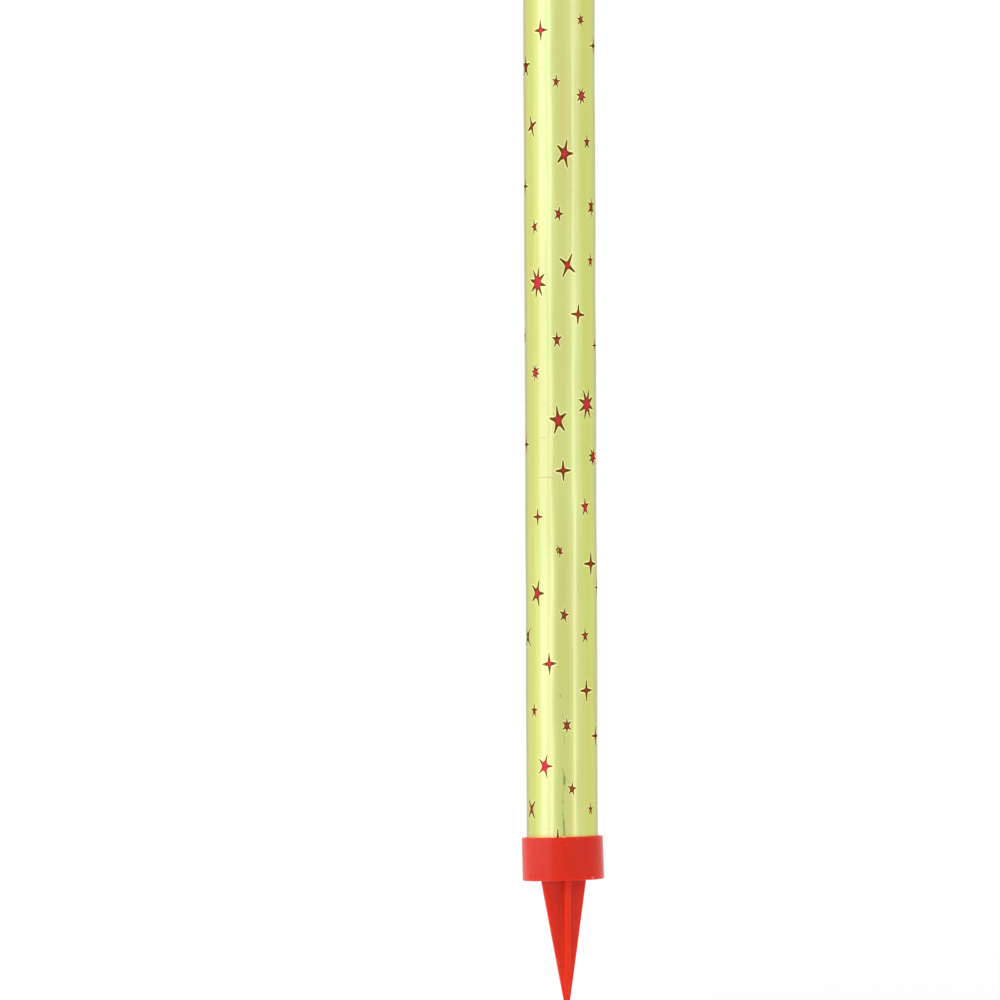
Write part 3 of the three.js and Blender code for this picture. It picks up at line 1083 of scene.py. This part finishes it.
def star_template(name, rays, reach, outline, heart, wear, grown):
    """One star, flat and facing up. Its UV map holds how far out each point is and how far
    the red middle reaches, both as shares of where the ink begins to wear thin."""
    corners = 8 * rays
    size = reach * MM
    star = primitive(
        name, bpy.ops.mesh.primitive_circle_add,
        vertices=corners, radius=size, fill_type="TRIFAN")
    edit(star)
    step = 2 * math.pi / corners

    def ring_place(corner):
        """0 at a ray's tip and 4 in a valley, below 0 on a ray's left; None in the middle."""
        if radius_of(corner.co) < size * 0.1:
            return None
        from_tip = round(math.atan2(corner.co.x, corner.co.y) / step) % 8
        return from_tip if from_tip < 5 else from_tip - 8

    places = {
        corner.index: ring_place(corner)
        for corner in bmesh.from_edit_mesh(star.data).verts}
    for place, (distance, turn) in enumerate(outline_corners(rays, outline, grown / size)):
        for side in (1, -1) if 0 < place < 4 else (1,):
            pick(lambda corner: places[corner.index] == place * side)
            resize(distance, distance, 1)
            bpy.ops.transform.rotate(
                value=side * (turn - place * step), orient_axis="Z", center_override=(0, 0, 0))
    bpy.ops.mesh.select_all(action="SELECT")
    bpy.ops.mesh.subdivide(number_cuts=2 if reach > 2.0 else 1)
    deselect()
    layer = star.data.uv_layers.get("UVMap") or star.data.uv_layers.new(name="UVMap")
    for loop in star.data.loops:
        point = star.data.vertices[loop.vertex_index].co
        layer.data[loop.index].uv = (radius_of(point) / size / wear, heart / wear)
    return star


def star_places(side):
    """Every star on the tube: the printed side's, and the same scatter on the back and top."""
    low, high = 5.5, FILM_BOX[1].z / MM - 1.2
    places = [(kind, turn + math.degrees(side), *rest) for kind, turn, *rest in STARS]
    repeat, first_repeated, back_lift = 165.0, 176.0, 37.0
    for kind, turn, height, width, twist, size in STARS:
        if first_repeated < height + repeat < high - 3:
            places.append(
                (kind, turn + math.degrees(side) - 9, height + repeat, width, twist, size))
    used = [spot_of(place) for place in places]
    for kind, turn, height, width, twist, size in STARS:
        for lift in (back_lift, back_lift - repeat):
            place = (kind, turn + 180 + math.degrees(side), height + lift, width, twist, size)
            room = KINDS[kind][1] * size
            if not low + room < place[2] < high - room:
                continue
            spot = spot_of(place)
            if all(far_enough(spot, other) for other in used):
                used.append(spot)
                places.append(place)
    return places


def spot_of(place):
    """Where a star's middle is, on the unrolled film in millimetres, and its reach."""
    kind, turn, height, _, _, size = place
    around = (turn % 360) / 360 * 2 * math.pi * FILM_BOX[1].x / MM
    return around, height, KINDS[kind][1] * size


def far_enough(spot, other):
    girth = 2 * math.pi * FILM_BOX[1].x / MM
    across = abs(spot[0] - other[0])
    across = min(across, girth - across)
    reach = (spot[2] + other[2]) * 1.05
    return (across / 0.7) ** 2 + (spot[1] - other[1]) ** 2 > reach ** 2


def print_stars(name, film, places, grown, top, depth):
    """Copies the templates to their places, wraps them on the film and thickens them. Small
    stars grow less."""
    templates = {
        kind: star_template(name + "_" + kind, *form, grown * min(1, form[1] / 2.2))
        for kind, form in KINDS.items()}
    copies = []
    for kind, turn, height, width, twist, size in places:
        copy = templates[kind].copy()
        copy.data = templates[kind].data.copy()
        bpy.context.collection.objects.link(copy)
        there = math.radians(turn)
        along = Vector((math.cos(there), math.sin(there), 0))
        outwards = Vector((math.sin(there), -math.cos(there), 0))
        centre = outwards * (FILM_BOX[1].x + 0.1 * MM) + Vector((0, 0, height * MM))
        frame_here = Matrix((along, (0, 0, 1), outwards)).transposed().to_4x4()
        shape = Matrix.Diagonal((size * width, size, 1, 1))
        twisted = Matrix.Rotation(math.radians(twist), 4, "Z")
        copy.data.transform(Matrix.Translation(centre) @ frame_here @ shape @ twisted)
        copies.append(copy)
    for template in templates.values():
        bpy.data.objects.remove(template)
    stars = take(*copies)
    bpy.ops.object.join()
    stars.name = name
    stars.data.name = name
    modify(
        stars, "SHRINKWRAP", target=film, wrap_method="NEAREST_SURFACEPOINT",
        wrap_mode="ABOVE_SURFACE", offset=top)
    modify(stars, "SOLIDIFY", thickness=depth, offset=-1.0)
    smooth(stars, 60)
    return stars


class SPARKLER_OT_stars(bpy.types.Operator):
    """Print the scattered stars on the film, each with its thin ring of bare foil"""
    bl_idname = "sparkler.stars"
    bl_label = "Stars"

    def execute(self, context):
        settings = context.scene.sparkler_stars
        film = bpy.data.objects["film_sleeve"]
        places = star_places(settings.side)
        depth = settings.height * 0.35
        halo = print_stars(
            "star_halo", film, places, settings.halo, settings.height * 0.5, depth)
        ink = print_stars("star_print", film, places, 0.0, settings.height, depth)
        dress(halo, bare_foil(settings), "cartridge", "printed_film")
        dress(ink, star_ink(settings), "cartridge", "printed_film")
        return {"FINISHED"}


# Tube, washer and fuse

def wound_paper(sheet, turns, first_radius):
    """The tube's one sheet of paper, wound on itself, each turn lying on the last."""
    low, high = TUBE_BOX[0].z, TUBE_BOX[1].z
    points_a_turn = 96
    count = points_a_turn * turns + 1
    line = bpy.data.curves.new("paper_line", "CURVE")
    line.dimensions = "3D"
    spline = line.splines.new("POLY")
    spline.points.add(count - 1)
    for number, point in enumerate(spline.points):
        turn = number / points_a_turn
        radius = first_radius + sheet / 2 + sheet * turn
        here = turn * 2 * math.pi + math.pi / 2
        point.co = (radius * math.cos(here), radius * math.sin(here), (low + high) / 2, 1)
    line.extrude = (high - low) / 2
    paper = bpy.data.objects.new("paper_winding", line)
    bpy.context.collection.objects.link(paper)
    take(paper)
    bpy.ops.object.convert(target="MESH")
    paper = bpy.context.object
    edit(paper)
    bpy.ops.mesh.select_all(action="SELECT")
    bpy.ops.mesh.remove_doubles(threshold=0.001 * MM)
    deselect()
    modify(paper, "SOLIDIFY", thickness=sheet * 0.93, offset=0.0)
    close_up(paper, 0.0005 * MM)
    smooth(paper, 40)
    return paper


class SPARKLER_OT_tube(bpy.types.Operator):
    """Wind the paper tube from its one sheet"""
    bl_idname = "sparkler.tube"
    bl_label = "Paper Tube"

    def execute(self, context):
        settings = context.scene.sparkler_top
        paper = wound_paper(0.23 * MM, 5, 5.45 * MM)
        kraft = fibrous("kraft_paper", settings.paper, 0.22)
        dress(paper, kraft, "cartridge", "kraft_paper", "paper_tube")
        return {"FINISHED"}


class SPARKLER_OT_washer(bpy.types.Operator):
    """Cut the card washer that closes the mouth, with its edges pressed soft"""
    bl_idname = "sparkler.washer"
    bl_label = "Washer"

    def execute(self, context):
        settings = context.scene.sparkler_top
        low, high = WASHER_BOX[0].z, WASHER_BOX[1].z
        outer, hole = WASHER_BOX[1].x, settings.fuse_radius + 0.1 * MM
        washer = primitive(
            "card_washer", bpy.ops.mesh.primitive_circle_add,
            vertices=96, radius=outer, fill_type="NOTHING", location=(0, 0, low))
        edit(washer, "EDGE")
        bpy.ops.mesh.select_all(action="SELECT")
        radius = outer
        for ring in (4.6 * MM, 3.4 * MM, 2.3 * MM, 1.8 * MM, hole):
            extrude()
            resize(ring / radius, ring / radius, 1, (0, 0, low))
            radius = ring
        pick(lambda face: True, "FACE")
        extrude(z=high - low)
        deselect()
        close_up(washer)
        edit(washer, "EDGE")
        for level in (low, high):
            for ring in (outer, hole):
                pick(lambda edge: all(
                    near(end.co.z, level) and near(radius_of(end.co), ring)
                    for end in edge.verts), "EDGE")
                bevel(0.12 * MM if ring == outer else 0.06 * MM, 3)
        for ring, dip in ((3.4 * MM, 0.05 * MM), (2.3 * MM, 0.1 * MM), (1.8 * MM, 0.06 * MM)):
            pick(lambda corner: near(corner.co.z, high) and near(radius_of(corner.co), ring))
            move(z=-dip)
        deselect()
        smooth(washer, 40)
        card = fibrous("grey_card", settings.card, 0.14, 0.82)
        dress(washer, card, "cartridge", "grey_card", "top_washer")
        return {"FINISHED"}


def fuse_lean(settings, z):
    """How far the fuse's middle stands off the axis, at a height above the washer."""
    washer_top, end = WASHER_BOX[1].z, 224.6 * MM
    free = max(0.0, z - washer_top) / (end - washer_top)
    return settings.fuse_lean * free ** 2


class SPARKLER_OT_fuse(bpy.types.Operator):
    """Wind the fuse's jacket strand by strand along its lean"""
    bl_idname = "sparkler.fuse"
    bl_label = "Fuse"

    def execute(self, context):
        settings = context.scene.sparkler_top
        low, high = FUSE_BOX[0].z, FUSE_BOX[1].z - 0.14 * MM
        jacket = primitive(
            "fuse_winding", bpy.ops.mesh.primitive_circle_add,
            vertices=settings.strands * 4, radius=settings.fuse_radius,
            fill_type="NOTHING", location=(0, 0, low))
        edit(jacket)
        step = 2 * math.pi / (settings.strands * 4)

        def strand_place(corner):
            return round(math.atan2(corner.co.x, corner.co.y) / step) % 4

        for members, size in (((0,), 0.9), ((1, 3), 0.975)):
            pick(lambda corner: strand_place(corner) in members)
            resize(size, size, 1, (0, 0, low))
        bpy.ops.mesh.select_mode(type="EDGE")
        bpy.ops.mesh.select_all(action="SELECT")
        rows = 80
        rise = (high - low) / rows
        steepness = 1.25
        turn_each = rise / settings.fuse_radius / steepness
        offset = 0.0
        for row in range(1, rows + 1):
            z = low + rise * row
            new_offset = fuse_lean(settings, z)
            extrude(x=new_offset - offset, z=rise)
            bpy.ops.transform.rotate(
                value=turn_each, orient_axis="Z", center_override=(new_offset, 0, z))
            offset = new_offset
        deselect()
        close_up(jacket)
        wall = settings.fuse_radius - 0.59 * MM
        modify(jacket, "SOLIDIFY", thickness=wall * 0.93, offset=-1.0)
        smooth(jacket, 70)
        thread = lacquered_thread(settings)
        dress(jacket, thread, "cartridge", "fuse_thread", "fuse_jacket")
        return {"FINISHED"}


class SPARKLER_OT_filling(bpy.types.Operator):
    """Finish the clay, the two compositions and the fuse's powder"""
    bl_idname = "sparkler.filling"
    bl_label = "Filling"

    def execute(self, context):
        finishes = {
            "base_plug": pressed_powder(
                "pressed_clay", paint(188, 176, 160), paint(168, 156, 140), 0.5 * MM),
            "spark_charge": pressed_powder(
                "spark_composition", paint(112, 110, 106), paint(84, 82, 80), 0.35 * MM, 0.9),
            "starter_charge": pressed_powder(
                "starter_composition", paint(46, 43, 41), paint(30, 28, 27), 0.25 * MM),
            "fuse_core": pressed_powder(
                "black_powder", paint(29, 28, 27), paint(18, 18, 18), 0.15 * MM),
        }
        for node, material in finishes.items():
            NODES[node].data.materials.clear()
            NODES[node].data.materials.append(material)
        return {"FINISHED"}


# Studio

def camera_direction(studio):
    """From the sparkler towards the camera, level."""
    return Vector((math.sin(studio.azimuth), -math.cos(studio.azimuth), 0))


def place_camera(studio):
    towards = camera_direction(studio)
    rightwards = Vector((math.cos(studio.azimuth), math.sin(studio.azimuth), 0))
    camera = bpy.data.objects.new("camera", bpy.data.cameras.new("camera"))
    bpy.context.collection.objects.link(camera)
    bpy.context.scene.camera = camera
    lens = camera.data
    lens.sensor_width = 36
    lens.lens = 36 * studio.distance / studio.frame_width
    lens.clip_start = 0.1
    lens.clip_end = 40
    aim = rightwards * studio.aim_side + Vector((0, 0, studio.aim_height))
    camera.location = aim + towards * studio.distance
    level = (-towards).to_track_quat("-Z", "Y").to_matrix().to_4x4()
    rolled = level @ Matrix.Rotation(-studio.roll, 4, "Z")
    camera.rotation_euler = rolled.to_euler()


def light_room(studio):
    """An even white room: the camera and glossy surfaces see it at full white."""
    world = bpy.data.worlds.new("studio_room")
    bpy.context.scene.world = world
    world.use_nodes = True
    finish = Finish(world.node_tree)
    strength = studio.fill_light + looked_at(finish) * (1.0 - studio.fill_light)
    background = finish.node(
        "ShaderNodeBackground", {}, {"Color": (1, 1, 1, 1), "Strength": strength})
    finish.node("ShaderNodeOutputWorld", {}, {"Surface": background})


# Each lamp: its name, the two edges of its panel in degrees to the camera's right, and how
# much brighter it is than the white room behind it. The matt panel makes no reflections.

LAMPS = (
    ("key_panel", -72.0, -43.5, 0.93),
    ("key_strip", -40.5, -27.0, 0.93),
    ("key_fringe", -27.0, -13.0, 0.14),
    ("key_wing", -94.0, -72.0, 0.46),
    ("side_panel", -136.0, -94.0, 0.16),
    ("soft_strip", 22.0, 37.0, 0.14),
    ("edge_strip", 37.5, 49.0, 0.76),
    ("edge_wing", 48.0, 70.0, 0.2),
    ("edge_panel", 104.0, 134.0, 0.06),
    ("matt_panel", -112.0, -44.0, 0.3),
)


def add_lamp(name, studio, left, right, brightness):
    """A tall soft panel that faces the sparkler."""
    there = studio.azimuth + math.radians((left + right) / 2)
    spread = math.radians(right - left)
    width, height = 2 * studio.lamp_distance * math.tan(spread / 2), studio.lamp_height
    light = bpy.data.lights.new(name, "AREA")
    light.shape = "RECTANGLE"
    light.size = width
    light.size_y = height
    light.color = studio.lamp_colour
    light.energy = brightness * math.pi * width * height
    lamp = bpy.data.objects.new(name, light)
    bpy.context.collection.objects.link(lamp)
    away = Vector((math.sin(there), -math.cos(there), 0))
    middle = studio.floor_height + height / 2 - 0.02
    lamp.location = away * studio.lamp_distance + Vector((0, 0, middle))
    lamp.rotation_euler = away.to_track_quat("Z", "Y").to_euler()
    lamp.visible_camera = False
    lamp.visible_glossy = not name.startswith("matt")


def lay_floor(studio):
    """A matt floor near the sparkler, where its shadow falls, and plain white further out."""
    floor = primitive(
        "studio_floor", bpy.ops.mesh.primitive_plane_add, size=8,
        location=(0, 0, studio.floor_height))
    material, finish = new_finish("studio_floor")
    seen = looked_at(finish)
    away = finish.node("ShaderNodeVectorMath", {"operation": "LENGTH"}, {0: finish.place()}, 1)
    plain = 0.2 + away.step(0.1, 0.45) * 0.8
    matt = finish.node("ShaderNodeBsdfDiffuse", {}, {"Color": (0.98, 0.98, 0.94, 1)})
    white = finish.node("ShaderNodeEmission", {}, {"Color": (1, 1, 1, 1), "Strength": 1.04})
    shader = finish.node("ShaderNodeMixShader", {}, {0: seen * plain, 1: matt, 2: white})
    finish.node("ShaderNodeOutputMaterial", {}, {"Surface": shader})
    floor.data.materials.append(material)


class SPARKLER_OT_studio(bpy.types.Operator):
    """Set up the camera, the pale floor and the soft studio light"""
    bl_idname = "sparkler.studio"
    bl_label = "Studio"

    def execute(self, context):
        studio = context.scene.sparkler_studio
        place_camera(studio)
        light_room(studio)
        for name, left, right, brightness in LAMPS:
            add_lamp(name, studio, left, right, brightness)
        lay_floor(studio)
        view = context.scene.view_settings
        view.view_transform = "Standard"
        return {"FINISHED"}


STEPS = (
    SPARKLER_OT_studio, SPARKLER_OT_holder, SPARKLER_OT_film, SPARKLER_OT_stars,
    SPARKLER_OT_tube, SPARKLER_OT_washer, SPARKLER_OT_fuse, SPARKLER_OT_filling,
)


class SPARKLER_PT_panel(bpy.types.Panel):
    """The steps that build the sparkler, in order"""
    bl_idname = "SPARKLER_PT_panel"
    bl_label = "Cake Fountain Sparkler"
    bl_space_type = "VIEW_3D"
    bl_region_type = "UI"
    bl_category = "Sparkler"

    def draw(self, context):
        for step in STEPS:
            self.layout.operator(step.bl_idname)


CLASSES = (*SETTINGS.values(), *STEPS, SPARKLER_PT_panel)


def register():
    for each in CLASSES:
        bpy.utils.register_class(each)
    for name, group in SETTINGS.items():
        setattr(bpy.types.Scene, name, PointerProperty(type=group))


def unregister():
    for name in SETTINGS:
        delattr(bpy.types.Scene, name)
    for each in reversed(CLASSES):
        bpy.utils.unregister_class(each)


def main():
    register()
    for step in STEPS:
        group, name = step.bl_idname.split(".")
        getattr(getattr(bpy.ops, group), name)()


if __name__ == "__main__":
    main()
